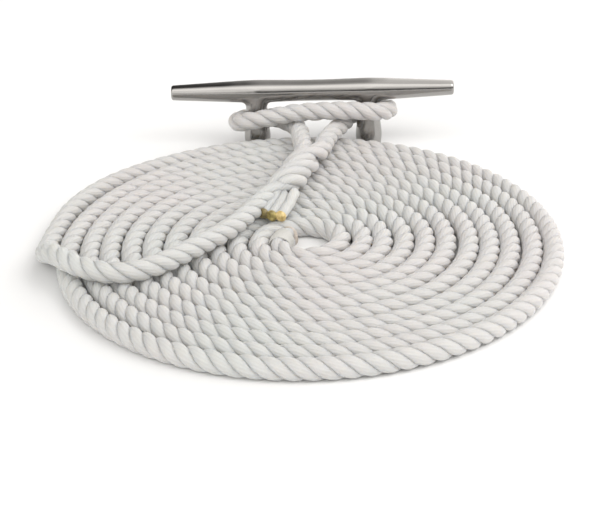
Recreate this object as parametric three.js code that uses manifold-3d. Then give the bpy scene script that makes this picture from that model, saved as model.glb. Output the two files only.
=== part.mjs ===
// A three-strand dock line laid down in a flat spiral, with its spliced eye dropped over a horn cleat.
// Millimetres, +Z up. The coil lies on the deck in front of the cleat, and the horn runs along X.
// Everything is drawn about the spiral's centre, and the last lines move the origin to the middle of
// the whole object's footprint.
import * as THREE from "three";
import { mergeVertices } from "three/addons/utils/BufferGeometryUtils.js";
import Module from "manifold-3d";

// Rope
const ROPE_D = 13;
const GAP = 0.3;
const TUBE_R = ROPE_D / 2 - GAP;
const TUBE_SIDES = 10;

// Flat spiral, one layer, wound clockwise from its start on the -X side in to the centre
const OUTER_TURN_R = 157;
const COIL_TURNS = 11;
const OUTER_EDGE_POINTS = 72;
const INNER_EDGE_POINTS = 24;
const COIL_RIM_ROUNDING = 4.5;

// The rope's bitter end, in the coil's centre: a twine whipping and a melted tip
const WHIPPING_TURNS = 0.15;
const TIP_TURNS = 0.055;
const END_GAP_TURNS = 0.012;

// The rope's top strands end here, on the coil, where the standing part drops to become the outer turn
const ON_COIL_Z = ROPE_D + GAP + TUBE_R;
const STANDING_PART_ROUTE = [
  [-24.6, 39.0, 20.4],
  [-30.0, 28.2, 19.8],
  [-35.2, 17.6, ON_COIL_Z],
  [-40.2, 7.2, ON_COIL_Z],
  [-45.6, -2.2, ON_COIL_Z],
  [-52.2, -11.6, ON_COIL_Z],
  [-61.2, -22.2, ON_COIL_Z],
  [-70.6, -33.3, ON_COIL_Z],
  [-79.9, -43.6, ON_COIL_Z],
  [-89.4, -51.6, ON_COIL_Z],
  [-99.0, -56.6, ON_COIL_Z],
  [-108.9, -58.0, ON_COIL_Z],
  [-119.0, -55.8, ON_COIL_Z],
  [-129.4, -50.0, ON_COIL_Z],
  [-139.4, -41.4, ON_COIL_Z],
  [-147.6, -31.6, 18.8],
  [-153.4, -21.4, 14.9],
  [-156.6, -11.4, 9.6],
  [-157.2, -1.6, 6.8],
];
const STANDING_PART_STEPS = 26;

// Horn cleat: two round posts under a long round horn, one casting
const CLEAT_X = 6.6;
const CLEAT_Y = 169;
const POST_OFFSET_X = 39.3;
const HORN_Z = 42.3;
const HORN_HALF_LENGTH = 98.5;
const HORN_TIP_R = 5.2;
const HORN_HUMP_R = 7.9;
const HORN_MIDDLE_R = 7.35;
const HORN_TIP_ROUNDING = 0.9;
const POST_BASE_R = 8.4;
const POST_SWELL_R = 9.2;
const POST_WAIST_R = 7.7;
const WAIST_Z = 28;
const SWELL_Z = 9.5;
const FLARE_R = 12.2;
const FLARE_Y_SCALE = 0.62;
const STUD_HOLE_R = 3.4;
const STUD_HOLE_DEPTH = 14;
const ROUND_SEGMENTS = 40;
const HOLE_SEGMENTS = 24;

// The eye: out of the splice's throat, round the left post, across under the horn, round the right post, back
const WRAP_R = POST_WAIST_R + TUBE_R + 1.1;
const LEFT_POST_X = CLEAT_X - POST_OFFSET_X;
const RIGHT_POST_X = CLEAT_X + POST_OFFSET_X;
const LEFT_WRAP_HEIGHTS = [19.2, 18.6, 18.2, 18.2, 18.8, 20.4, 22.9, 25.6];
const RIGHT_WRAP_HEIGHTS = [30.6, 29.2, 27.6, 25.8, 24.0, 22.4, 21.0, 19.9];
const EYE_ROUTE = [
  [-1.7, 130.5, 21.0],
  [-2.5, 140.5, 20.1],
  [-2.4, 150.0, 19.5],
  [-6.0, 160.4, 19.5],
  [-14.2, 171.2, 19.3],
  ...postWrap(LEFT_POST_X, [35, 66, 97, 128, 159, 190, 221, 252], LEFT_WRAP_HEIGHTS),
  [-24.5, 154.4, 27.8],
  [-9.0, 154.0, 31.0],
  [7.0, 153.9, 32.2],
  [23.0, 153.9, 32.6],
  [38.0, 154.3, 32.0],
  ...postWrap(RIGHT_POST_X, [-72, -41, -10, 21, 52, 83, 114, 145], RIGHT_WRAP_HEIGHTS),
  [28.9, 167.0, 19.3],
  [24.8, 157.0, 19.3],
  [20.6, 147.0, 19.5],
  [17.4, 137.0, 20.1],
  [15.6, 129.0, 20.8],
];
const EYE_STEPS = 48;

// The splice: the eye's two legs side by side, closing into one body. Its section is wider than it is high
const SPLICE_START = new THREE.Vector3(6.4, 123, 0);
const SPLICE_END = new THREE.Vector3(-19.2, 47, 0);
const SPLICE_Z = 23.2;
const SPLICE_HEIGHT_SCALE = 0.82;
const SPLICE_THROAT_R = 12;
const SPLICE_BODY_R = 10.2;
const SPLICE_END_R = 8.8;
const SPLICE_SEGMENTS = 24;

// The splice's three tucked strands end side by side on the coil, cut short and melted
const STRAND_R = 2.7;
const STRAND_CAP_ARC_POINTS = 5;
const STRAND_ENDS = [
  { name: "tucked_strand_1", from: [-16.8, 35.5, 16.2], to: [-22.0, 23.5, 16.2] },
  { name: "tucked_strand_2", from: [-10.9, 34.0, 16.2], to: [-16.1, 22.0, 16.2] },
  { name: "tucked_strand_3", from: [-5.0, 33.0, 16.2], to: [-10.2, 21.0, 16.2] },
];

const wasm = await Module();
wasm.setup();

function material(color, roughness, metalness) {
  return new THREE.MeshStandardMaterial({ color, roughness, metalness });
}

const finishes = {
  nylon: () => material(0xe9e8e2, 0.75, 0),
  twine: () => material(0xd9d5c6, 0.85, 0),
  melted: () => material(0xa8873f, 0.45, 0),
  steel: () => material(0xb9b8b5, 0.15, 1),
};

function node(name, geometry, finish) {
  const mesh = new THREE.Mesh(geometry, finish());
  mesh.name = name;
  return mesh;
}

// Points on a post's wrap at the given angles and heights.
function postWrap(postX, degrees, heights) {
  return degrees.map((degree, i) => {
    const angle = THREE.MathUtils.degToRad(degree);
    return [postX + WRAP_R * Math.cos(angle), CLEAT_Y + WRAP_R * Math.sin(angle), heights[i]];
  });
}

function spiralPoint(turn, sideways) {
  const angle = Math.PI - 2 * Math.PI * turn;
  const radius = OUTER_TURN_R - ROPE_D * turn + sideways;
  return new THREE.Vector2(radius * Math.cos(angle), radius * Math.sin(angle));
}

function curveThrough(route) {
  const points = route.map((point) => new THREE.Vector3(...point));
  return new THREE.CatmullRomCurve3(points, false, "centripetal");
}

function tube(curve, radius, sides, steps) {
  const section = new THREE.Shape();
  for (let i = 0; i < sides; i += 1) {
    const angle = (2 * Math.PI * i) / sides;
    const put = i === 0 ? "moveTo" : "lineTo";
    section[put](radius * Math.cos(angle), radius * Math.sin(angle));
  }
  section.closePath();
  return new THREE.ExtrudeGeometry(section, { extrudePath: curve, steps, bevelEnabled: false });
}

// A turned solid whose axis runs from one point to another. The profile is pairs of radius and distance.
function turned(profile, from, to, segments) {
  const points = profile.map(([radius, along]) => new THREE.Vector2(radius, along));
  const geometry = new THREE.LatheGeometry(points, segments);
  const axis = new THREE.Vector3().subVectors(to, from).normalize();
  const turn = new THREE.Quaternion().setFromUnitVectors(new THREE.Vector3(0, 1, 0), axis);
  geometry.applyQuaternion(turn);
  geometry.translate(from.x, from.y, from.z);
  return geometry;
}

function toSolid(geometry) {
  const bare = geometry.clone();
  bare.deleteAttribute("normal");
  bare.deleteAttribute("uv");
  const merged = mergeVertices(bare, 1e-4);
  return new wasm.Manifold(
    new wasm.Mesh({
      numProp: 3,
      vertProperties: merged.attributes.position.array,
      triVerts: new Uint32Array(merged.index.array),
    }),
  );
}

function toGeometry(solid) {
  const mesh = solid.getMesh();
  const geometry = new THREE.BufferGeometry();
  geometry.setAttribute("position", new THREE.BufferAttribute(mesh.vertProperties, 3));
  geometry.setIndex(new THREE.BufferAttribute(mesh.triVerts, 1));
  return geometry;
}

// The closed outer shape of the whole spiral: one turn of the outer edge, with the innermost turn's
// inner edge as its hole, both stepping by one rope at the rope's two ends.
function coil() {
  const lastTurn = COIL_TURNS - WHIPPING_TURNS - TIP_TURNS - 3 * END_GAP_TURNS;
  const edge = (firstTurn, sideways, points) =>
    Array.from({ length: points + 1 }, (_, i) => spiralPoint(firstTurn + i / points, sideways));
  const outline = new THREE.Shape(edge(0, ROPE_D / 2, OUTER_EDGE_POINTS));
  const hole = edge(lastTurn - 1, -ROPE_D / 2, INNER_EDGE_POINTS).reverse();
  outline.holes.push(new THREE.Path(hole));
  const geometry = new THREE.ExtrudeGeometry(outline, {
    depth: ROPE_D - 2 * COIL_RIM_ROUNDING,
    bevelThickness: COIL_RIM_ROUNDING,
    bevelSize: COIL_RIM_ROUNDING,
    bevelOffset: -COIL_RIM_ROUNDING,
    bevelSegments: 3,
  });
  geometry.translate(0, 0, COIL_RIM_ROUNDING);
  return node("flemish_coil", geometry, finishes.nylon);
}

// A stretch of the innermost turn between two turn counts.
function innerStretch(name, firstTurn, lastTurn, radius, finish) {
  const steps = 6;
  const route = Array.from({ length: steps + 1 }, (_, i) => {
    const point = spiralPoint(THREE.MathUtils.lerp(firstTurn, lastTurn, i / steps), 0);
    return [point.x, point.y, ROPE_D / 2];
  });
  return node(name, tube(curveThrough(route), radius, TUBE_SIDES, steps), finish);
}

function bitterEnd() {
  const tipStart = COIL_TURNS - TIP_TURNS;
  const whippingEnd = tipStart - END_GAP_TURNS;
  const whippingStart = whippingEnd - WHIPPING_TURNS;
  return [
    innerStretch("end_whipping", whippingStart, whippingEnd, TUBE_R, finishes.twine),
    innerStretch("melted_end", tipStart, COIL_TURNS, TUBE_R - GAP, finishes.melted),
  ];
}

function standingPart() {
  const route = curveThrough(STANDING_PART_ROUTE);
  return node("standing_part", tube(route, TUBE_R, TUBE_SIDES, STANDING_PART_STEPS), finishes.nylon);
}

function eye() {
  return node("eye_loop", tube(curveThrough(EYE_ROUTE), TUBE_R, TUBE_SIDES, EYE_STEPS), finishes.nylon);
}

function splice() {
  const length = SPLICE_START.distanceTo(SPLICE_END);
  const profile = [
    [0, 0],
    [SPLICE_THROAT_R, 0],
    [SPLICE_BODY_R, 0.5 * length],
    [SPLICE_END_R, length],
    [0, length],
  ];
  const geometry = turned(profile, SPLICE_START, SPLICE_END, SPLICE_SEGMENTS);
  geometry.scale(1, 1, SPLICE_HEIGHT_SCALE);
  geometry.translate(0, 0, SPLICE_Z);
  return node("eye_splice", geometry, finishes.nylon);
}

function strandEnd({ name, from, to }) {
  const start = new THREE.Vector3(...from);
  const end = new THREE.Vector3(...to);
  const length = start.distanceTo(end);
  const profile = [[0, 0], [STRAND_R, 0]];
  for (let i = 0; i <= STRAND_CAP_ARC_POINTS; i += 1) {
    const angle = ((Math.PI / 2) * i) / STRAND_CAP_ARC_POINTS;
    profile.push([STRAND_R * Math.cos(angle), length - STRAND_R + STRAND_R * Math.sin(angle)]);
  }
  profile[profile.length - 1][0] = 0;
  return node(name, turned(profile, start, end, TUBE_SIDES + 2), finishes.melted);
}

function horn() {
  const middle = new THREE.Vector3(CLEAT_X, CLEAT_Y, HORN_Z);
  const from = middle.clone().setX(CLEAT_X - HORN_HALF_LENGTH);
  const to = middle.clone().setX(CLEAT_X + HORN_HALF_LENGTH);
  const half = [
    [0, HORN_HALF_LENGTH],
    [HORN_TIP_R - HORN_TIP_ROUNDING, HORN_HALF_LENGTH],
    [HORN_TIP_R, HORN_HALF_LENGTH - HORN_TIP_ROUNDING],
    [HORN_HUMP_R - 0.5, POST_OFFSET_X + 12],
    [HORN_HUMP_R - 0.1, POST_OFFSET_X + 4],
    [HORN_HUMP_R - 0.1, POST_OFFSET_X - 4],
    [HORN_HUMP_R - 0.35, POST_OFFSET_X - 14],
    [HORN_MIDDLE_R, POST_OFFSET_X - 28],
  ];
  const leftHalf = half.map(([radius, out]) => [radius, HORN_HALF_LENGTH - out]);
  const rightHalf = half.map(([radius, out]) => [radius, HORN_HALF_LENGTH + out]).reverse();
  return turned([...leftHalf, ...rightHalf], from, to, ROUND_SEGMENTS);
}

function post(x) {
  const foot = new THREE.Vector3(x, CLEAT_Y, 0);
  const top = new THREE.Vector3(x, CLEAT_Y, HORN_Z);
  const profile = [
    [0, 0],
    [POST_BASE_R, 0],
    [POST_SWELL_R - 0.3, 4.5],
    [POST_SWELL_R, SWELL_Z],
    [POST_SWELL_R - 0.3, SWELL_Z + 4],
    [POST_WAIST_R + 0.5, 20],
    [POST_WAIST_R + 0.1, 24],
    [POST_WAIST_R, WAIST_Z],
    [POST_WAIST_R, HORN_Z],
    [0, HORN_Z],
  ];
  return turned(profile, foot, top, ROUND_SEGMENTS);
}

// The flare where a post meets the horn: wide along the horn and no deeper than the post.
function flare(x) {
  const profile = [
    [0, WAIST_Z + 1],
    [POST_WAIST_R, WAIST_Z + 1],
    [POST_WAIST_R + 0.8, WAIST_Z + 5],
    [POST_WAIST_R + 2, WAIST_Z + 7],
    [FLARE_R, WAIST_Z + 9.5],
    [FLARE_R, HORN_Z - 2],
    [0, HORN_Z - 2],
  ];
  const axisStart = new THREE.Vector3();
  const geometry = turned(profile, axisStart, new THREE.Vector3(0, 0, 1), ROUND_SEGMENTS);
  geometry.scale(1, FLARE_Y_SCALE, 1);
  geometry.translate(x, CLEAT_Y, 0);
  return geometry;
}

function studHole(x) {
  const profile = [[0, -1], [STUD_HOLE_R, -1], [STUD_HOLE_R, STUD_HOLE_DEPTH], [0, STUD_HOLE_DEPTH + 1.5]];
  const foot = new THREE.Vector3(x, CLEAT_Y, 0);
  return turned(profile, foot, new THREE.Vector3(x, CLEAT_Y, 1), HOLE_SEGMENTS);
}

function cleat() {
  let casting = toSolid(horn());
  for (const x of [LEFT_POST_X, RIGHT_POST_X]) {
    casting = casting.add(toSolid(post(x))).add(toSolid(flare(x)));
    casting = casting.subtract(toSolid(studHole(x)));
  }
  return node("cleat", toGeometry(casting), finishes.steel);
}

const group = new THREE.Group();
group.add(cleat(), coil(), standingPart(), eye(), splice(), ...bitterEnd(), ...STRAND_ENDS.map(strandEnd));

// The origin goes to the middle of the footprint, on the deck.
const box = new THREE.Box3().setFromObject(group, true);
const centre = box.getCenter(new THREE.Vector3());
group.position.set(-centre.x, -centre.y, -box.min.z);

export default group;
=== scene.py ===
"""A coiled three-strand dock line with its eye over a horn cleat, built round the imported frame."""
import math
from collections import namedtuple

import bpy
import numpy as np
from mathutils import Matrix, Vector


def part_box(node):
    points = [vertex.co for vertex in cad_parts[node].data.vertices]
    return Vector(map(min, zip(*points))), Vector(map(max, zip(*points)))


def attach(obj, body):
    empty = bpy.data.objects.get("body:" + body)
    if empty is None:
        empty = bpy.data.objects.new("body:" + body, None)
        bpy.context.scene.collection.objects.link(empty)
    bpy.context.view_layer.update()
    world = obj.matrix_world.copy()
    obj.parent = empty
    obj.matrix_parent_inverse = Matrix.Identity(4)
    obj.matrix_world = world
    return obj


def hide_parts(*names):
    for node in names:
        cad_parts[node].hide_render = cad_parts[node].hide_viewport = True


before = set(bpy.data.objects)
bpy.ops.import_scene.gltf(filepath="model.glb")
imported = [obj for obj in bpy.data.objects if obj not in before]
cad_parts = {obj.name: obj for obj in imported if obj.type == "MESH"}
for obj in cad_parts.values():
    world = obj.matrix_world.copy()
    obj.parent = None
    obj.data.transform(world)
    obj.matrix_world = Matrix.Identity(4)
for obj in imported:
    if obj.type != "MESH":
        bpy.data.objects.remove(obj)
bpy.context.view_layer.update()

# ---------------------------------------------------------------- sizes, in metres
# As in the CAD source
ROPE_D = 0.013
OUTER_TURN_R = 0.157
COIL_TURNS = 11
CLEAT_X = 0.0066
CLEAT_Y = 0.169
POST_OFFSET_X = 0.0393
HORN_Z = 0.0423
WRAP_R = 0.0144

# The coil: its rows' spacing, a bulge where the rope comes down to the deck, and how uneven the turns are
SPIRAL_POINTS_PER_TURN = 40
END_TURN = COIL_TURNS + 0.13
ROW_SPACING = 0.01285
BULGE = 0.0036
BULGE_TURN = 0.09
BULGE_REACH = 0.05
SLOW_WAVE = 0.0004
QUICK_WAVE = 0.0003
ON_COIL_Z = 0.0193

# The laid rope: three round strands, whose centres wind round the rope's centreline
STRAND_R = 0.25 * ROPE_D
STRAND_WIDTH = 0.285 * ROPE_D
LAY_R = 0.25 * ROPE_D
LAY_PITCH = 2.4 * ROPE_D
RINGS_PER_LAY = 20
CURVE_STEPS = 16
SOFTENING = 2
STRAND_SIDES = 14
STRANDS = 3
THIRD_TURN = 2 * math.pi / STRANDS

# How much shorter the lay is on the outer turns, how much longer at the inner end, and its slow wander
OUTER_LAY_TIGHTER = 0.045
INNER_LAY_LOOSER = 0.09
LAY_WANDER = 0.22
LAY_WANDER_LENGTH = 0.5
LAY_WANDER_SEED = 3

# The yarns that show on a strand, and how much they slant, in turns a metre
YARNS = 11
YARN_SLANT = 33.0

# The eye splice: six strands in a ring. Its tips are about the coil's centre, traced like the route
SPLICE_LENGTH = 0.084
TAIL_LENGTH = 0.020
SPLICE_PITCH = 0.066
PAIR_TURN = math.radians(50)
MAIN_RING_R = 0.0061
TUCKED_RING_R = 0.0066
RING_STRAND_R = 0.0032
RING_STRAND_WIDTH = 0.0036
TUCKED_SPREAD = 0.12
TUCKED_DRIFT = 0.0048
TAIL_R = 0.0033
TAIL_HEADING = (-0.38, -0.91, -0.16)
STRAND_TIPS = [
    (-0.0254, 0.0236, 0.0170),
    (-0.0200, 0.0214, 0.0164),
    (-0.0145, 0.0200, 0.0166),
]

# Where each change along the splice begins and ends, from its throat
LAY_OPENS = (0.006, 0.028)
LAY_CLOSES = (SPLICE_LENGTH - 0.010, SPLICE_LENGTH + 0.010)
LAY_TIGHTENS = (0.10, 0.30)
RING_OPENS = (0.008, 0.034)
RING_CLOSES = (SPLICE_LENGTH - 0.026, SPLICE_LENGTH - 0.002)
PAIRS_FORM = (0.002, 0.034)
LEGS_CLOSE = (-0.004, 0.036)
TUCKED_DRIFTS = (0.045, SPLICE_LENGTH)
TUCKED_RING_OPENS = (0.006, 0.032)
TAILS_LEAVE = (SPLICE_LENGTH - 0.026, SPLICE_LENGTH + 0.006)
TAILS_SORTED_AT = SPLICE_LENGTH - 0.006
NEVER_ZERO = 1e-6

# The melted ends: their outline is pairs of radius and place along, as shares of the cap's own
BLOB_PROFILE = [(0.96, 0.0), (1.0, 0.2), (1.06, 0.5), (1.0282, 0.75), (0.848, 0.93), (0.477, 1.0)]
BLOB_SEGMENTS = 28
BLOB_BACK = 0.0001
SEAL_R = TAIL_R * 1.06
SEAL_LENGTH = 0.0030
SEAL_OVERLAP = 0.0006
SEAL_SEED = 20
END_SEAL_R = ROPE_D * 0.48
END_SEAL_LENGTH = 0.0034
END_SEAL_OVERLAP = 0.001
END_SEAL_SEED = 31

# The whipping on the bitter end
WHIPPING_LENGTH = 0.012
TWINE_D = 0.0011
WHIPPING_FROM_END = 0.003
TWINE_STEPS_PER_TURN = 24
TWINE_SIDES = 8
TWINE_BITE = 0.0002

# The cleat: half the horn as place along and radius, and a post as height and radius
HORN_HALF_LENGTH = 0.0985
HORN_PROFILE = [
    (0.0, 0.00735),
    (0.012, 0.00742),
    (0.026, 0.00770),
    (0.0393, 0.00790),
    (0.050, 0.00762),
    (0.065, 0.00690),
    (0.085, 0.00586),
    (0.0985, 0.00518),
]
POST_PROFILE = [
    (0.0, 0.0084),
    (0.0045, 0.0089),
    (0.0095, 0.0092),
    (0.0135, 0.0089),
    (0.0200, 0.0081),
    (0.0280, 0.0076),
    (0.0345, 0.0071),
    (0.0423, 0.0040),
]
TIP_ROUNDING = 0.0009
FILLET = 0.0045
STUD_HOLE_R = 0.0034
STUD_HOLE_DEPTH = 0.014
FOOT_ROUNDING = 0.0008

# How its mesh is made: a rough shape a little too big, then pulled on to the surface in small moves
ROUGH_EXTRA = 0.0012
CLEAT_VOXEL = 0.00075
PULL_ROUNDS = 12
LONGEST_PULL = 0.0006
FIELD_STEP = 1e-5

# The camera, about the coil's centre: the rounded result of a least-squares fit to places in the photograph
CAMERA_FROM = (0.00365, -0.84332, 0.42636)
CAMERA_AZIMUTH = math.radians(-0.473)
CAMERA_DOWN = math.radians(26.907)
CAMERA_ROLL = math.radians(-1.331)
CAMERA_LENS = 92.52
SENSOR = 36.0

# The stage: the floor, and the sky's brightness by degrees, from the camera's side over to behind
FLOOR_REACH = 30.0
SKY_STOPS = [
    (0, 0.42),
    (6, 0.10),
    (13, 0.14),
    (20, 0.70),
    (30, 1.25),
    (44, 1.90),
    (56, 2.25),
    (68, 2.00),
    (81, 0.95),
    (93, 0.60),
    (108, 0.52),
    (150, 0.75),
    (180, 0.85),
]
SKY_LEFT = 0.12
SKY_RIGHT = 2.4
SKY_LEFT_FILL = 0.95
SKY_STRENGTH = 0.95
SKY_BEHIND_LIMITS = (math.radians(82), math.radians(94))
SKY_LEFT_LIMITS = (-0.03, -0.13)
SKY_RIGHT_LIMITS = (0.04, 0.11)
SKY_LOW_FRONT_LIMITS = (math.radians(38), math.radians(22))
KEY_PLACE = (0.75, -0.45, 1.0)
KEY_SIZE = (0.6, 0.6)
KEY_POWER = 3.0

# ---------------------------------------------------------------- places taken from the frame
cleat_low, cleat_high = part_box("cleat")
coil_low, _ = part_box("flemish_coil")
COIL_CENTRE = np.array([
    coil_low.x + OUTER_TURN_R + ROPE_D / 2,
    (cleat_low.y + cleat_high.y) / 2 - CLEAT_Y,
    0.0,
])


def placed(points):
    """Points about the coil's centre, moved into the row frame."""
    return np.asarray(points, float) + COIL_CENTRE


# ---------------------------------------------------------------- the camera
def make_camera():
    """A camera that looks ahead and down, rolled a little."""
    data = bpy.data.cameras.new("camera")
    data.lens = CAMERA_LENS
    data.sensor_width = SENSOR
    data.clip_end = 50.0
    camera = bpy.data.objects.new("camera", data)
    bpy.context.scene.collection.objects.link(camera)
    level = math.cos(CAMERA_DOWN)
    ahead = Vector((
        math.sin(CAMERA_AZIMUTH) * level,
        math.cos(CAMERA_AZIMUTH) * level,
        -math.sin(CAMERA_DOWN),
    ))
    right = ahead.cross(Vector((0, 0, 1))).normalized()
    up = right.cross(ahead)
    tilt_cos, tilt_sin = math.cos(CAMERA_ROLL), math.sin(CAMERA_ROLL)
    rolled_right = tilt_cos * right + tilt_sin * up
    rolled_up = tilt_cos * up - tilt_sin * right
    turn = Matrix((rolled_right, rolled_up, -ahead)).transposed()
    camera.matrix_world = Matrix.Translation(Vector(placed(CAMERA_FROM))) @ turn.to_4x4()
    bpy.context.scene.camera = camera


# ---------------------------------------------------------------- the rope's route, about the coil's centre
def post_wrap(post_x, degrees, heights):
    """Points on a post's wrap at the given angles and heights."""
    angles = np.radians(degrees)
    return [
        (post_x + WRAP_R * math.cos(a), CLEAT_Y + WRAP_R * math.sin(a), z)
        for a, z in zip(angles, heights)
    ]


# The three lists below are about the coil's centre. Most of their points were traced from the photograph
# through the fitted camera, then smoothed and filled in
EYE_ROUTE = [
    (-0.0016, 0.1298, 0.0210),
    (-0.0025, 0.1405, 0.0201),
    (-0.0024, 0.1500, 0.0194),
    (-0.0060, 0.1604, 0.0192),
    (-0.0142, 0.1712, 0.0192),
    *post_wrap(
        CLEAT_X - POST_OFFSET_X,
        [35, 66, 97, 128, 159, 190, 221, 252],
        [0.0190, 0.0182, 0.0176, 0.0177, 0.0185, 0.0202, 0.0228, 0.0256],
    ),
    (-0.0245, 0.1544, 0.0278),
    (-0.0090, 0.1540, 0.0310),
    (0.0070, 0.1539, 0.0322),
    (0.0230, 0.1539, 0.0326),
    (0.0380, 0.1543, 0.0320),
    *post_wrap(
        CLEAT_X + POST_OFFSET_X,
        [-72, -41, -10, 21, 52, 83, 114, 145],
        [0.0306, 0.0292, 0.0276, 0.0258, 0.0240, 0.0224, 0.0210, 0.0199],
    ),
    (0.0289, 0.1670, 0.0193),
    (0.0248, 0.1570, 0.0193),
    (0.0206, 0.1470, 0.0195),
    (0.0170, 0.1370, 0.0201),
    (0.0146, 0.1270, 0.0208),
    (0.0130, 0.1175, 0.0213),
]

SPLICE_ROUTE = [
    (-0.0006, 0.1185, 0.0215),
    (0.0002, 0.1074, 0.0220),
    (0.0000, 0.0970, 0.0223),
    (-0.0015, 0.0873, 0.0224),
    (-0.0044, 0.0773, 0.0223),
    (-0.0082, 0.0668, 0.0220),
    (-0.0130, 0.0575, 0.0216),
    (-0.0186, 0.0485, 0.0210),
]

STANDING_PART_ROUTE = [
    (-0.0246, 0.0390, 0.0204),
    (-0.0300, 0.0282, 0.0198),
    (-0.0352, 0.0176, 0.0194),
    (-0.0402, 0.0072, ON_COIL_Z),
    (-0.0456, -0.0022, ON_COIL_Z),
    (-0.0522, -0.0116, ON_COIL_Z),
    (-0.0612, -0.0222, ON_COIL_Z),
    (-0.0706, -0.0333, ON_COIL_Z),
    (-0.0799, -0.0436, ON_COIL_Z),
    (-0.0894, -0.0516, ON_COIL_Z),
    (-0.0990, -0.0566, ON_COIL_Z),
    (-0.1089, -0.0580, ON_COIL_Z),
    (-0.1190, -0.0558, ON_COIL_Z),
    (-0.1294, -0.0500, ON_COIL_Z),
    (-0.1394, -0.0414, ON_COIL_Z),
    (-0.1476, -0.0316, 0.0186),
    (-0.1534, -0.0214, 0.0148),
    (-0.1566, -0.0114, 0.0096),
    (-0.1574, -0.0016, 0.0068),
]


def spiral_route():
    """The coil's turns, clockwise from the outer end on the -X side in to the centre, a rope apart."""
    turns = np.arange(1, int(END_TURN * SPIRAL_POINTS_PER_TURN)) / SPIRAL_POINTS_PER_TURN
    turns = np.append(turns[1:], END_TURN)
    angles = math.pi - 2 * math.pi * turns
    slow_waves = SLOW_WAVE * np.sin(2 * math.pi * 1.37 * turns + 1.0)
    quick_waves = QUICK_WAVE * np.sin(2 * math.pi * 2.21 * turns + 2.0)
    uneven = slow_waves + quick_waves
    bulge = BULGE * np.exp(-((turns - BULGE_TURN) / BULGE_REACH) ** 2)
    radii = OUTER_TURN_R - ROW_SPACING * turns + uneven + bulge
    heights = ROPE_D / 2 + QUICK_WAVE * np.sin(2 * math.pi * 1.83 * turns)
    return np.column_stack([radii * np.cos(angles), radii * np.sin(angles), heights])


def curve_through(points, per_span):
    """A centripetal Catmull-Rom curve through the points."""
    points = np.asarray(points, float)
    padded = np.vstack([2 * points[0] - points[1], points, 2 * points[-1] - points[-2]])
    spans = np.sqrt(np.linalg.norm(np.diff(padded, axis=0), axis=1))
    knots = np.concatenate([[0], np.cumsum(spans)])
    made = []
    for i in range(1, len(padded) - 2):
        t = np.linspace(knots[i], knots[i + 1], per_span, endpoint=False)[:, None]
        k0, k1, k2, k3 = knots[i - 1:i + 3]
        p0, p1, p2, p3 = padded[i - 1:i + 3]
        a1 = (k1 - t) / (k1 - k0) * p0 + (t - k0) / (k1 - k0) * p1
        a2 = (k2 - t) / (k2 - k1) * p1 + (t - k1) / (k2 - k1) * p2
        a3 = (k3 - t) / (k3 - k2) * p2 + (t - k2) / (k3 - k2) * p3
        b1 = (k2 - t) / (k2 - k0) * a1 + (t - k0) / (k2 - k0) * a2
        b2 = (k3 - t) / (k3 - k1) * a2 + (t - k1) / (k3 - k1) * a3
        made.append((k2 - t) / (k2 - k1) * b1 + (t - k1) / (k2 - k1) * b2)
    made.append(points[-1:])
    return np.vstack(made)


def lengths_along(line):
    return np.concatenate([[0], np.cumsum(np.linalg.norm(np.diff(line, axis=0), axis=1))])


def evenly_spaced(line, step):
    along = lengths_along(line)
    wanted = np.linspace(0, along[-1], int(round(along[-1] / step)) + 1)
    return np.column_stack([np.interp(wanted, along, line[:, axis]) for axis in range(3)])


def softened(line, reach):
    """The line with small kinks smoothed out over a few points each way, its two ends kept."""
    weights = np.exp(-0.5 * (np.arange(-3 * reach, 3 * reach + 1) / reach) ** 2)
    weights /= weights.sum()
    extra = 3 * reach
    before = 2 * line[0] - line[extra:0:-1]
    after = 2 * line[-1] - line[-2:-extra - 2:-1]
    padded = np.vstack([before, line, after])
    return np.column_stack([np.convolve(padded[:, axis], weights, mode="valid") for axis in range(3)])


def unit(vectors):
    return vectors / np.linalg.norm(vectors, axis=-1, keepdims=True)


def frames_along(line):
    """Tangents, and two side directions that don't twist about the line."""
    tangents = unit(np.gradient(line, axis=0))
    first = unit(np.cross(np.cross(tangents[0], (0.0, 0.0, 1.0)), tangents[0]))
    sides = [first]
    for before, after in zip(tangents[:-1], tangents[1:]):
        side = sides[-1] - after * np.dot(sides[-1], after)
        sides.append(side / np.linalg.norm(side))
    sides = np.array(sides)
    return tangents, sides, np.cross(tangents, sides)


def ramp(values, low, high):
    """0 below low, 1 above high, and smooth between."""
    t = np.clip((values - low) / (high - low), 0, 1)
    return t * t * (3 - 2 * t)


def slow_noise(values, wavelength, seed, size):
    """A smooth seeded wobble along the rope."""
    generator = np.random.default_rng(seed)
    waves = generator.uniform(0.6, 1.7, 6)
    phases = generator.uniform(0, 2 * math.pi, 6)
    total = sum(np.sin(2 * math.pi * w * values / wavelength + p) for w, p in zip(waves, phases))
    return size * total / math.sqrt(6)


# ---------------------------------------------------------------- mesh helpers
def mesh_object(name, points, faces, uvs=None, material=None, smooth=True):
    mesh = bpy.data.meshes.new(name)
    mesh.from_pydata(np.asarray(points).tolist(), [], faces)
    if uvs is not None:
        layer = mesh.uv_layers.new(name="strand")
        layer.data.foreach_set("uv", np.asarray(uvs, np.float32).ravel())
    mesh.update()
    if smooth:
        mesh.polygons.foreach_set("use_smooth", np.ones(len(mesh.polygons), bool))
    obj = bpy.data.objects.new(name, mesh)
    bpy.context.scene.collection.objects.link(obj)
    if material is not None:
        mesh.materials.append(material)
    return obj


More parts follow.
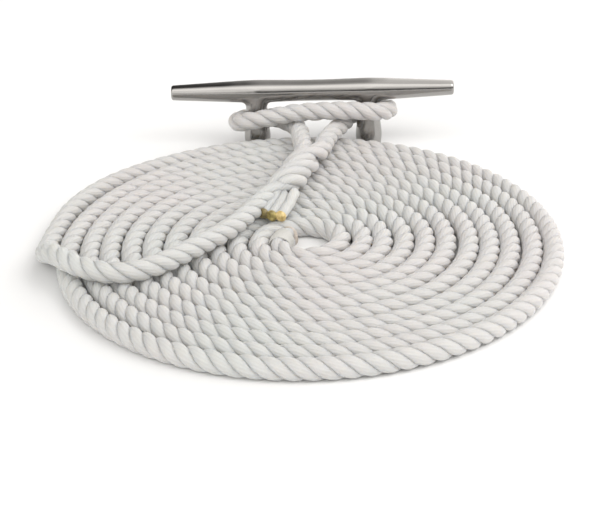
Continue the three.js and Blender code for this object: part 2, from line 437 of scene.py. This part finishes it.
def strand_mesh(centres, outward, radii, sides, widths=None):
    """A closed tube round the centres: points, faces, and UVs that are turns round and metres along."""
    widths = radii if widths is None else widths
    count = len(centres)
    tangents = unit(np.gradient(centres, axis=0))
    outward = unit(outward - tangents * np.sum(outward * tangents, axis=1, keepdims=True))
    across = np.cross(tangents, outward)
    around = np.arange(sides) / sides * 2 * math.pi
    rings = (
        centres[:, None, :]
        + radii[:, None, None] * np.cos(around)[None, :, None] * outward[:, None, :]
        + widths[:, None, None] * np.sin(around)[None, :, None] * across[:, None, :]
    )
    points = rings.reshape(-1, 3)
    i, j = np.meshgrid(np.arange(count - 1), np.arange(sides), indexing="ij")
    k = (j + 1) % sides
    quads = np.stack([i * sides + j, i * sides + k, (i + 1) * sides + k, (i + 1) * sides + j], axis=-1)
    quads = quads.reshape(-1, 4)
    along = lengths_along(centres)
    u0, u1 = j / sides, (j + 1) / sides
    v0, v1 = along[i], along[i + 1]
    uvs = np.stack([u0, v0, u1, v0, u1, v1, u0, v1], axis=-1).reshape(-1, 2)
    # Domed ends: two smaller rings and a point at each end
    faces = quads.tolist()
    points = points.tolist()
    uvs = uvs.tolist()
    for end, sign in ((0, -1.0), (count - 1, 1.0)):
        ring = [end * sides + n for n in range(sides)]
        for shrink, push in ((0.78, 0.55), (0.42, 0.86)):
            start = len(points)
            centre = centres[end] + sign * tangents[end] * radii[end] * push * 0.7
            points.extend((centre + (rings[end] - centres[end]) * shrink).tolist())
            fresh = list(range(start, start + sides))
            for n in range(sides):
                m = (n + 1) % sides
                quad = [ring[n], ring[m], fresh[m], fresh[n]]
                faces.append(quad if sign > 0 else quad[::-1])
                uvs.extend([[0.5, float(along[end])]] * 4)
            ring = fresh
        tip = len(points)
        points.append((centres[end] + sign * tangents[end] * radii[end] * 0.7).tolist())
        for n in range(sides):
            m = (n + 1) % sides
            triangle = [ring[n], ring[m], tip]
            faces.append(triangle if sign > 0 else triangle[::-1])
            uvs.extend([[0.5, float(along[end])]] * 3)
    return points, faces, uvs


# ---------------------------------------------------------------- materials
def new_material(name):
    material = bpy.data.materials.new(name)
    material.use_nodes = True
    tree = material.node_tree
    shader = tree.nodes["Principled BSDF"]
    return material, tree, shader


def add(tree, kind, inputs=None, **settings):
    node = tree.nodes.new(kind)
    for key, value in settings.items():
        setattr(node, key, value)
    for key, value in (inputs or {}).items():
        if isinstance(value, bpy.types.NodeSocket):
            tree.links.new(value, node.inputs[key])
        else:
            node.inputs[key].default_value = value
    return node


def math_node(tree, operation, first, second=None):
    node = add(tree, "ShaderNodeMath", operation=operation)
    for index, value in enumerate((first, second)):
        if isinstance(value, bpy.types.NodeSocket):
            tree.links.new(value, node.inputs[index])
        elif value is not None:
            node.inputs[index].default_value = value
    return node.outputs[0]


def colour_mix(tree, factor, first, second):
    node = add(tree, "ShaderNodeMix", data_type="RGBA")
    for socket, value in ((node.inputs[0], factor), (node.inputs[6], first), (node.inputs[7], second)):
        if isinstance(value, bpy.types.NodeSocket):
            tree.links.new(value, socket)
        else:
            socket.default_value = value
    return node.outputs[2]


def between_limits(tree, value, none_at, full_at):
    """0 at the first limit, 1 at the second, and straight between."""
    node = add(tree, "ShaderNodeMapRange", {"Value": value, "From Min": none_at, "From Max": full_at})
    return node.outputs["Result"]


def object_places(tree):
    return add(tree, "ShaderNodeTexCoord").outputs["Object"]


def noise(tree, places, scale, detail):
    node = add(tree, "ShaderNodeTexNoise", {"Vector": places, "Scale": scale, "Detail": detail})
    return node.outputs["Fac"]


def set_bump(tree, shader, height, strength, distance):
    node = add(tree, "ShaderNodeBump", {"Height": height, "Strength": strength, "Distance": distance})
    tree.links.new(node.outputs["Normal"], shader.inputs["Normal"])


def set_roughness(tree, shader, value, smoothest, roughest):
    node = add(tree, "ShaderNodeMapRange", {"Value": value, "To Min": smoothest, "To Max": roughest})
    tree.links.new(node.outputs["Result"], shader.inputs["Roughness"])


def rope_material():
    """White laid nylon: yarns that slant round each strand, painted shade in the grooves between the yarns, a
    soft sheen, faint warm and cool patches.
    """
    material, tree, shader = new_material("laid_nylon")
    uv = add(tree, "ShaderNodeUVMap", uv_map="strand")
    split = add(tree, "ShaderNodeSeparateXYZ", {"Vector": uv.outputs["UV"]})
    slant = math_node(tree, "MULTIPLY", split.outputs["Y"], YARN_SLANT)
    turned = math_node(tree, "ADD", split.outputs["X"], slant)
    yarn = math_node(tree, "MULTIPLY", turned, YARNS * math.pi)
    ridge = math_node(tree, "ABSOLUTE", math_node(tree, "SINE", yarn))
    places = object_places(tree)
    fuzz = noise(tree, places, 900.0, 3.0)
    yarn_height = math_node(tree, "MULTIPLY", ridge, 0.8)
    fuzz_height = math_node(tree, "MULTIPLY", fuzz, 0.5)
    set_bump(tree, shader, math_node(tree, "ADD", yarn_height, fuzz_height), 0.55, 0.0004)
    set_roughness(tree, shader, fuzz, 0.48, 0.68)
    patches = noise(tree, places, 55.0, 2.0)
    base = colour_mix(tree, patches, (0.545, 0.553, 0.538, 1), (0.610, 0.618, 0.605, 1))
    warmth = between_limits(tree, noise(tree, places, 9.0, 2.0), 0.35, 0.65)
    tinted = colour_mix(tree, math_node(tree, "MULTIPLY", warmth, 0.6), base, (0.590, 0.548, 0.545, 1))
    # Painted shade: the grooves between the yarns are mixed towards a darker grey, as the shade that falls
    # there
    painted_groove_shade = math_node(tree, "MULTIPLY", math_node(tree, "SUBTRACT", 1.0, ridge), 0.10)
    colour = colour_mix(tree, painted_groove_shade, tinted, (0.50, 0.49, 0.46, 1))
    tree.links.new(colour, shader.inputs["Base Color"])
    shader.inputs["Sheen Weight"].default_value = 0.25
    shader.inputs["Sheen Roughness"].default_value = 0.4
    shader.inputs["Subsurface Weight"].default_value = 0.8
    shader.inputs["Subsurface Radius"].default_value = (0.0075, 0.0068, 0.0058)
    shader.inputs["Subsurface Scale"].default_value = 1.0
    return material


def melted_material(name, dark, light):
    """Nylon melted by a flame: browner and darker in patches, half glossy."""
    material, tree, shader = new_material(name)
    blotch = noise(tree, object_places(tree), 420.0, 4.0)
    colours = add(tree, "ShaderNodeValToRGB", {"Fac": blotch})
    for stop, position, colour in zip(colours.color_ramp.elements, (0.35, 0.65), (dark, light)):
        stop.position = position
        stop.color = colour
    tree.links.new(colours.outputs["Color"], shader.inputs["Base Color"])
    set_bump(tree, shader, blotch, 0.5, 0.0005)
    set_roughness(tree, shader, blotch, 0.25, 0.5)
    return material


def twine_material():
    """Waxed off-white twine with fine fibres."""
    material, tree, shader = new_material("whipping_twine")
    fibre = noise(tree, object_places(tree), 1800.0, 3.0)
    colour = colour_mix(tree, fibre, (0.52, 0.51, 0.48, 1), (0.66, 0.65, 0.62, 1))
    tree.links.new(colour, shader.inputs["Base Color"])
    set_bump(tree, shader, fibre, 0.4, 0.0002)
    set_roughness(tree, shader, fibre, 0.5, 0.7)
    return material


def steel_material():
    """Polished stainless casting: near mirror, with faint polishing waves and a slightly uneven gloss."""
    material, tree, shader = new_material("polished_stainless")
    places = object_places(tree)
    stretched = add(tree, "ShaderNodeMapping", {"Vector": places, "Scale": (0.25, 1.0, 1.0)})
    long_way = stretched.outputs["Vector"]
    haze = noise(tree, long_way, 160.0, 5.0)
    waves = noise(tree, places, 60.0, 1.0)
    scratches = noise(tree, long_way, 2600.0, 2.0)
    colour = colour_mix(tree, haze, (0.33, 0.32, 0.306, 1), (0.42, 0.41, 0.396, 1))
    tree.links.new(colour, shader.inputs["Base Color"])
    set_roughness(tree, shader, haze, 0.07, 0.2)
    height = math_node(tree, "ADD", waves, math_node(tree, "MULTIPLY", scratches, 0.04))
    set_bump(tree, shader, height, 0.12, 0.0012)
    shader.inputs["Metallic"].default_value = 1.0
    return material


# ---------------------------------------------------------------- the rope and its splice
# The centreline, metres past the splice's throat, two side directions, the strands' turning rate and angle
RopeLay = namedtuple("RopeLay", "line past sides_a sides_b rates lay")


def rope_line():
    """The rope's centreline from the end of the eye's other leg, in even steps."""
    eye = EYE_ROUTE[::-1]
    route = np.vstack([eye, SPLICE_ROUTE, STANDING_PART_ROUTE, spiral_route()])
    fine = curve_through(route, CURVE_STEPS)
    return placed(softened(evenly_spaced(fine, LAY_PITCH / RINGS_PER_LAY), SOFTENING))


def nearest_length(line, along, point):
    """How far along the line it passes nearest to a point about the coil's centre."""
    return along[np.argmin(np.linalg.norm(line - placed(point), axis=1))]


def wound(line, sides_a, sides_b, phase, reach, spread=0.0):
    """A strand that winds round the line, spread level by a share of its reach: centres and ways outward."""
    outward = np.cos(phase)[:, None] * sides_a + np.sin(phase)[:, None] * sides_b
    level = unit(np.cross(np.cross(sides_a, sides_b), (0.0, 0.0, 1.0)))
    offset = outward * reach[:, None]
    sideways = np.sum(offset * level, axis=1) * spread
    return line + offset + level * sideways[:, None], outward


def added_up(rates, along):
    """The running total of a rate along the rope, from zero."""
    steps = np.diff(along) * (rates[1:] + rates[:-1]) / 2
    return np.concatenate([[0], np.cumsum(steps)])


def between(first, second, share):
    """A value that goes from first to second as the share goes from 0 to 1."""
    return (1 - share) * first + share * second


def lay_out_rope():
    """The rope's centreline and, at each point of it, how far its strands have wound."""
    line = rope_line()
    along = lengths_along(line)
    _, sides_a, sides_b = frames_along(line)
    past = along - nearest_length(line, along, SPLICE_ROUTE[0])
    # The lay opens out in the splice, where six strands lie round one middle in three pairs
    opened = ramp(past, *LAY_OPENS) * (1 - ramp(past, *LAY_CLOSES))
    # The outer turns are laid a little harder than the inner ones
    tighter = OUTER_LAY_TIGHTER * ramp(past, *LAY_TIGHTENS)
    looser = INNER_LAY_LOOSER * np.clip(past / past[-1], 0, 1)
    pitch = LAY_PITCH * (1 - tighter + looser)
    rates = 2 * math.pi * ((1 - opened) / pitch + opened / SPLICE_PITCH)
    lay = added_up(rates, along) + slow_noise(along, LAY_WANDER_LENGTH, LAY_WANDER_SEED, LAY_WANDER)
    return RopeLay(line, past, sides_a, sides_b, rates, lay)


def make_rope_strands(rope, nylon):
    """The rope's own three strands, from the end of the eye round to the bitter end."""
    swollen = ramp(rope.past, *RING_OPENS) * (1 - ramp(rope.past, *RING_CLOSES))
    reach = between(LAY_R, MAIN_RING_R, swollen)
    radii = between(STRAND_R, RING_STRAND_R, swollen)
    widths = between(STRAND_WIDTH, RING_STRAND_WIDTH, swollen)
    strands = []
    for number in range(STRANDS):
        phase = rope.lay + THIRD_TURN * number
        centres, outward = wound(rope.line, rope.sides_a, rope.sides_b, phase, reach)
        points, faces, uvs = strand_mesh(centres, outward, radii, STRAND_SIDES, widths)
        strands.append(mesh_object(f"rope_strand_{number + 1}", points, faces, uvs, nylon))
    return strands


def tucked_phase(rope, inside, past):
    """How far the tucked strands have wound: on from the eye's end, then each paired with a main strand."""
    first_outward = math.cos(rope.lay[0]) * rope.sides_a[0] + math.sin(rope.lay[0]) * rope.sides_b[0]
    side_a, side_b = rope.sides_a[inside][0], rope.sides_b[inside][0]
    phase = math.atan2(first_outward @ side_b, first_outward @ side_a) + added_up(rope.rates[inside], past)
    behind = (rope.lay[inside] + PAIR_TURN - phase + THIRD_TURN / 2) % THIRD_TURN - THIRD_TURN / 2
    return phase + behind[len(behind) // 2] * ramp(past, *PAIRS_FORM)


def make_tucked_strands(rope, nylon):
    """The end's three strands, which close in, lie beside the main ones and run out to melted tips.

    Returns the pieces, and where each tip is and which way it points, from left to right.
    """
    inside = (rope.past >= 0) & (rope.past <= SPLICE_LENGTH + TAIL_LENGTH)
    past = rope.past[inside]
    line, sides_a, sides_b = rope.line[inside], rope.sides_a[inside], rope.sides_b[inside]
    phases = tucked_phase(rope, inside, past)

    closed = ramp(past, *LEGS_CLOSE)
    closed = (closed - closed[0]) / (1 - closed[0])
    aside = (rope.line[0] - line[0]) * (1 - closed)[:, None]
    aside[:, 0] += TUCKED_DRIFT * ramp(past, *TUCKED_DRIFTS)
    ringed = ramp(past, *TUCKED_RING_OPENS)
    leaving = ramp(past, *TAILS_LEAVE)
    reach = between(LAY_R, TUCKED_RING_R, ringed)
    radii = between(between(STRAND_R, RING_STRAND_R, ringed), TAIL_R, leaving)
    widths = between(between(STRAND_WIDTH, RING_STRAND_WIDTH, ringed), TAIL_R, leaving)

    tip_order = strand_order(phases, sides_a, sides_b, past)
    heading = unit(np.array(TAIL_HEADING))
    leaving = leaving[:, None]
    tucked, tips = [], []
    for number in range(STRANDS):
        phase = phases + THIRD_TURN * number
        centres, outward = wound(line + aside, sides_a, sides_b, phase, reach, ringed * TUCKED_SPREAD)
        tail = placed(STRAND_TIPS[tip_order[number]]) - heading * (past[-1] - past)[:, None]
        centres = centres * (1 - leaving) + tail * leaving
        outward = unit(outward * (1 - leaving) + np.array([0.0, 0.0, 1.0]) * leaving + NEVER_ZERO)
        points, faces, uvs = strand_mesh(centres, outward, radii, STRAND_SIDES, widths)
        tucked.append(mesh_object(f"splice_strand_{number + 1}", points, faces, uvs, nylon))
        tips.append((centres[-1], unit(centres[-1] - centres[-3])))
    return tucked, [tips[number] for number in np.argsort(tip_order)]


def strand_order(phase, sides_a, sides_b, along):
    """Which tip each tucked strand runs out to: by sideways place, so that their tails don't cross."""
    at = np.argmin(np.abs(along - TAILS_SORTED_AT))
    places = []
    for number in range(STRANDS):
        angle = phase[at] + THIRD_TURN * number
        places.append((math.cos(angle) * sides_a[at] + math.sin(angle) * sides_b[at])[0])
    order = np.argsort(places)
    ranks = [0] * STRANDS
    for rank, number in enumerate(order):
        ranks[number] = rank
    return ranks


def blob(name, centre, axis, radius, length, material, seed):
    """A melted end: a short mushroomed cap with a lumpy face, its axis along the strand."""
    axis = unit(np.asarray(axis, float))
    side = unit(np.cross(axis, (0.3, 0.2, 0.93)))
    other = np.cross(axis, side)
    generator = np.random.default_rng(seed)
    lumps = generator.uniform(0, 2 * math.pi, 4)
    segments = BLOB_SEGMENTS
    points, faces = [tuple(centre - axis * BLOB_BACK)], []
    for r, t in BLOB_PROFILE:
        for n in range(segments):
            angle = 2 * math.pi * n / segments
            lump = 1 + 0.035 * math.sin(3 * angle + lumps[0]) * t + 0.025 * math.sin(5 * angle + lumps[1]) * t
            push = 1 + 0.10 * math.sin(2 * angle + lumps[2]) * t + 0.06 * math.sin(4 * angle + lumps[3]) * t
            outward = (math.cos(angle) * side + math.sin(angle) * other) * radius * r * lump
            points.append(tuple(centre + outward + axis * length * t * push))
    rows = len(BLOB_PROFILE)
    for n in range(segments):
        faces.append((0, 1 + (n + 1) % segments, 1 + n))
    for row in range(rows - 1):
        for n in range(segments):
            m = (n + 1) % segments
            low, high = 1 + row * segments, 1 + (row + 1) * segments
            faces.append((low + n, low + m, high + m, high + n))
    tip = len(points)
    points.append(tuple(centre + axis * length * 1.01))
    last = 1 + (rows - 1) * segments
    for n in range(segments):
        faces.append((last + n, last + (n + 1) % segments, tip))
    piece = mesh_object(name, points, faces, None, material)
    refine = piece.modifiers.new("refine", "SUBSURF")
    refine.levels = refine.render_levels = 1
    return piece


def make_whipping(line, twine):
    """Close turns of twine round the rope's last stretch."""
    along = lengths_along(line)
    _, sides_a, sides_b = frames_along(line)
    turns = WHIPPING_LENGTH / TWINE_D
    steps = int(turns * TWINE_STEPS_PER_TURN)
    wanted = np.linspace(
        along[-1] - WHIPPING_LENGTH - WHIPPING_FROM_END,
        along[-1] - WHIPPING_FROM_END,
        steps,
    )

    def pick(values):
        return np.column_stack([np.interp(wanted, along, values[:, axis]) for axis in range(3)])

    centre, side_a, side_b = pick(line), unit(pick(sides_a)), unit(pick(sides_b))
    angle = np.linspace(0, 2 * math.pi * turns, steps)
    outward = np.cos(angle)[:, None] * side_a + np.sin(angle)[:, None] * side_b
    centres = centre + outward * (ROPE_D / 2 - TWINE_BITE)
    points, faces, uvs = strand_mesh(centres, outward, np.full(steps, TWINE_D * 0.54), TWINE_SIDES)
    return mesh_object("whipping_turns", points, faces, uvs, twine)


# ---------------------------------------------------------------- the cleat
def smooth_max(a, b, k):
    h = np.clip(0.5 + 0.5 * (a - b) / k, 0, 1)
    return b * (1 - h) + a * h + k * h * (1 - h)


def smooth_min(a, b, k):
    return -smooth_max(-a, -b, k)


def profile_radius(profile, at):
    places, radii = np.array(profile).T
    fine = curve_through(np.column_stack([places, radii, np.zeros(len(places))]), 12)
    return np.interp(at, fine[:, 0], fine[:, 1])


def cleat_field(points):
    """Distance-like field of the casting, negative inside, about the middle of its feet."""
    x, y, z = points[:, 0], points[:, 1], points[:, 2]
    round_horn = np.hypot(y, z - HORN_Z) - profile_radius(HORN_PROFILE, np.abs(x))
    field = smooth_max(round_horn, np.abs(x) - HORN_HALF_LENGTH, TIP_ROUNDING * 2)
    for post_x in (-POST_OFFSET_X, POST_OFFSET_X):
        away = np.hypot(x - post_x, y)
        side = away - profile_radius(POST_PROFILE, z)
        post = smooth_max(side, np.maximum(-z, z - HORN_Z), FOOT_ROUNDING)
        field = smooth_min(field, post, FILLET)
        hole = np.maximum(away - STUD_HOLE_R, z - STUD_HOLE_DEPTH)
        field = np.maximum(field, -hole)
    return field


def lathe(profile, axis, centre, segments=48):
    """A closed turned mesh, as points and faces. The profile is pairs of place along the axis and radius."""
    points, faces = [], []
    for at, radius in profile:
        for n in range(segments):
            angle = 2 * math.pi * n / segments
            p = (radius * math.cos(angle), radius * math.sin(angle))
            points.append((at, p[0], p[1]) if axis == "x" else (p[0], p[1], at))
    rows = len(profile)
    for row in range(rows - 1):
        for n in range(segments):
            m = (n + 1) % segments
            a, b = row * segments, (row + 1) * segments
            faces.append((a + n, a + m, b + m, b + n))
    faces.append(tuple(range(segments))[::-1])
    faces.append(tuple((rows - 1) * segments + n for n in range(segments)))
    return (np.array(points) + np.array(centre)).tolist(), faces


def make_cleat(steel):
    """A rough mesh of turned shapes, remeshed as one and pulled on to the casting's smooth surface."""
    half = [(at, radius + ROUGH_EXTRA) for at, radius in HORN_PROFILE]
    whole = [(-at, r) for at, r in half[::-1]] + half[1:]
    shapes = [lathe(whole, "x", (0, 0, HORN_Z))]
    for post_x in (-POST_OFFSET_X, POST_OFFSET_X):
        shapes.append(lathe([(z, r + ROUGH_EXTRA) for z, r in POST_PROFILE], "z", (post_x, 0, 0)))
    points, faces = [], []
    for shape_points, shape_faces in shapes:
        start = len(points)
        points += shape_points
        faces += [tuple(start + v for v in face) for face in shape_faces]
    rough = mesh_object("cleat_rough", points, faces)
    bpy.context.view_layer.objects.active = rough
    remesh = rough.modifiers.new("remesh", "REMESH")
    remesh.mode = "VOXEL"
    remesh.voxel_size = CLEAT_VOXEL
    evaluated = rough.evaluated_get(bpy.context.evaluated_depsgraph_get())
    mesh = bpy.data.meshes.new_from_object(evaluated)
    bpy.data.objects.remove(rough)
    co = np.zeros(len(mesh.vertices) * 3)
    mesh.vertices.foreach_get("co", co)
    co = co.reshape(-1, 3)
    for _ in range(PULL_ROUNDS):
        value = cleat_field(co)
        slope = np.column_stack([
            (cleat_field(co + FIELD_STEP * way) - cleat_field(co - FIELD_STEP * way)) / (2 * FIELD_STEP)
            for way in np.eye(3)
        ])
        size = np.maximum(np.sum(slope * slope, axis=1), 0.2)
        co -= np.clip(value / size, -LONGEST_PULL, LONGEST_PULL)[:, None] * slope
    middle = np.array([(cleat_low.x + cleat_high.x) / 2, (cleat_low.y + cleat_high.y) / 2, 0.0])
    mesh.vertices.foreach_set("co", (co + middle).ravel())
    mesh.polygons.foreach_set("use_smooth", np.ones(len(mesh.polygons), bool))
    mesh.update()
    mesh.materials.clear()
    mesh.materials.append(steel)
    cleat = bpy.data.objects.new("horn_cleat", mesh)
    bpy.context.scene.collection.objects.link(cleat)
    return cleat


# ---------------------------------------------------------------- stage
def make_floor():
    material, tree, shader = new_material("pale_floor")
    shader.inputs["Base Color"].default_value = (0.9, 0.9, 0.9, 1)
    shader.inputs["Roughness"].default_value = 0.9
    shader.inputs["Specular IOR Level"].default_value = 0.1
    reach = FLOOR_REACH
    corners = [(-reach, -reach, 0), (reach, -reach, 0), (reach, reach, 0), (-reach, reach, 0)]
    floor = mesh_object("floor", corners, [(0, 1, 2, 3)], None, material, smooth=False)


def area_light(name, place, size, power):
    """A soft rectangle of light that points at the origin."""
    data = bpy.data.lights.new(name, "AREA")
    data.shape = "RECTANGLE"
    data.size, data.size_y = size
    data.energy = power
    light = bpy.data.objects.new(name, data)
    bpy.context.scene.collection.objects.link(light)
    light.location = place
    light.rotation_mode = "QUATERNION"
    light.rotation_quaternion = (-Vector(place)).to_track_quat("-Z", "Y")


def make_light():
    """A soft box over the camera's side and a dimmer sky behind, darker to the left, lighter to the right."""
    world = bpy.data.worlds.new("studio")
    bpy.context.scene.world = world
    world.use_nodes = True
    tree = world.node_tree
    background = tree.nodes["Background"]
    way = add(tree, "ShaderNodeTexCoord")
    axes = add(tree, "ShaderNodeSeparateXYZ", {"Vector": way.outputs["Generated"]})
    towards = math_node(tree, "MULTIPLY", axes.outputs["Y"], -1.0)
    angle = math_node(tree, "ARCTAN2", axes.outputs["Z"], towards)
    place = math_node(tree, "DIVIDE", angle, math.pi)
    sky = add(tree, "ShaderNodeValToRGB", {"Fac": place})
    stops = sky.color_ramp.elements
    for index, (degrees, level) in enumerate(SKY_STOPS):
        stop = stops[index] if index < 2 else stops.new(degrees / 180)
        stop.position = degrees / 180
        stop.color = (level, level, level, 1)
    behind = between_limits(tree, angle, *SKY_BEHIND_LIMITS)
    to_left = between_limits(tree, axes.outputs["X"], *SKY_LEFT_LIMITS)
    to_right = between_limits(tree, axes.outputs["X"], *SKY_RIGHT_LIMITS)
    low_front = between_limits(tree, angle, *SKY_LOW_FRONT_LIMITS)
    left_level = math_node(tree, "MULTIPLY", to_left, behind)
    right_level = math_node(tree, "MULTIPLY", to_right, behind)
    left_fill = math_node(tree, "MULTIPLY", to_left, low_front)
    filled = math_node(tree, "MULTIPLY", left_fill, SKY_LEFT_FILL)
    darker = add(tree, "ShaderNodeMapRange", {"Value": left_level, "To Min": 1.0, "To Max": SKY_LEFT})
    lighter = add(tree, "ShaderNodeMapRange", {"Value": right_level, "To Min": 1.0, "To Max": SKY_RIGHT})
    level = math_node(tree, "MULTIPLY", darker.outputs[0], lighter.outputs[0])
    grey = add(tree, "ShaderNodeSeparateColor", {"Color": sky.outputs["Color"]})
    lit = math_node(tree, "ADD", math_node(tree, "MULTIPLY", grey.outputs["Red"], level), filled)
    background.inputs["Color"].default_value = (1.0, 0.985, 0.965, 1)
    tree.links.new(math_node(tree, "MULTIPLY", lit, SKY_STRENGTH), background.inputs["Strength"])
    area_light("key", KEY_PLACE, KEY_SIZE, KEY_POWER)
    bpy.context.scene.view_settings.view_transform = "Standard"


# ---------------------------------------------------------------- building
make_camera()
nylon = rope_material()
# One melted amber in three copies: painted shade for the darker ones, painted light for the brightest
amber_shade_to_light = [
    melted_material("melted_amber_painted_shade", (0.14, 0.11, 0.05, 1), (0.34, 0.27, 0.11, 1)),
    melted_material("melted_amber_painted_half_shade", (0.22, 0.17, 0.05, 1), (0.50, 0.41, 0.15, 1)),
    melted_material("melted_amber_painted_light", (0.50, 0.35, 0.11, 1), (0.86, 0.68, 0.33, 1)),
]
pale_melt = melted_material("melted_pale", (0.42, 0.36, 0.30, 1), (0.62, 0.56, 0.51, 1))
twine = twine_material()
rope = lay_out_rope()
line = rope.line
rope_strands = make_rope_strands(rope, nylon)
tucked_strands, strand_tips = make_tucked_strands(rope, nylon)

seals = []
# The tips, from left to right, take the amber from painted shade to painted light
for i, (centre, axis) in enumerate(strand_tips):
    seal_from = centre - axis * SEAL_OVERLAP
    seals.append(blob(f"strand_seal_{i + 1}", seal_from, axis, SEAL_R, SEAL_LENGTH, amber_shade_to_light[i], SEAL_SEED + i))
whipping = make_whipping(line, twine)
end_axis = unit(line[-1] - line[-4])
end_seal_from = line[-1] - end_axis * END_SEAL_OVERLAP
end_seal = blob(
    "rope_end_seal", end_seal_from, end_axis, END_SEAL_R, END_SEAL_LENGTH, pale_melt, END_SEAL_SEED
)
cleat = make_cleat(steel_material())

for piece in [*rope_strands, *tucked_strands, *seals, whipping, end_seal, cleat]:
    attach(piece, "root")
for piece in rope_strands:
    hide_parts("flemish_coil", "standing_part", "eye_loop", "eye_splice")
for number, piece in enumerate(tucked_strands):
    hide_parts(f"tucked_strand_{number + 1}")
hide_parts("end_whipping")
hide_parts("melted_end")
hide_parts("cleat")

make_floor()
make_light()
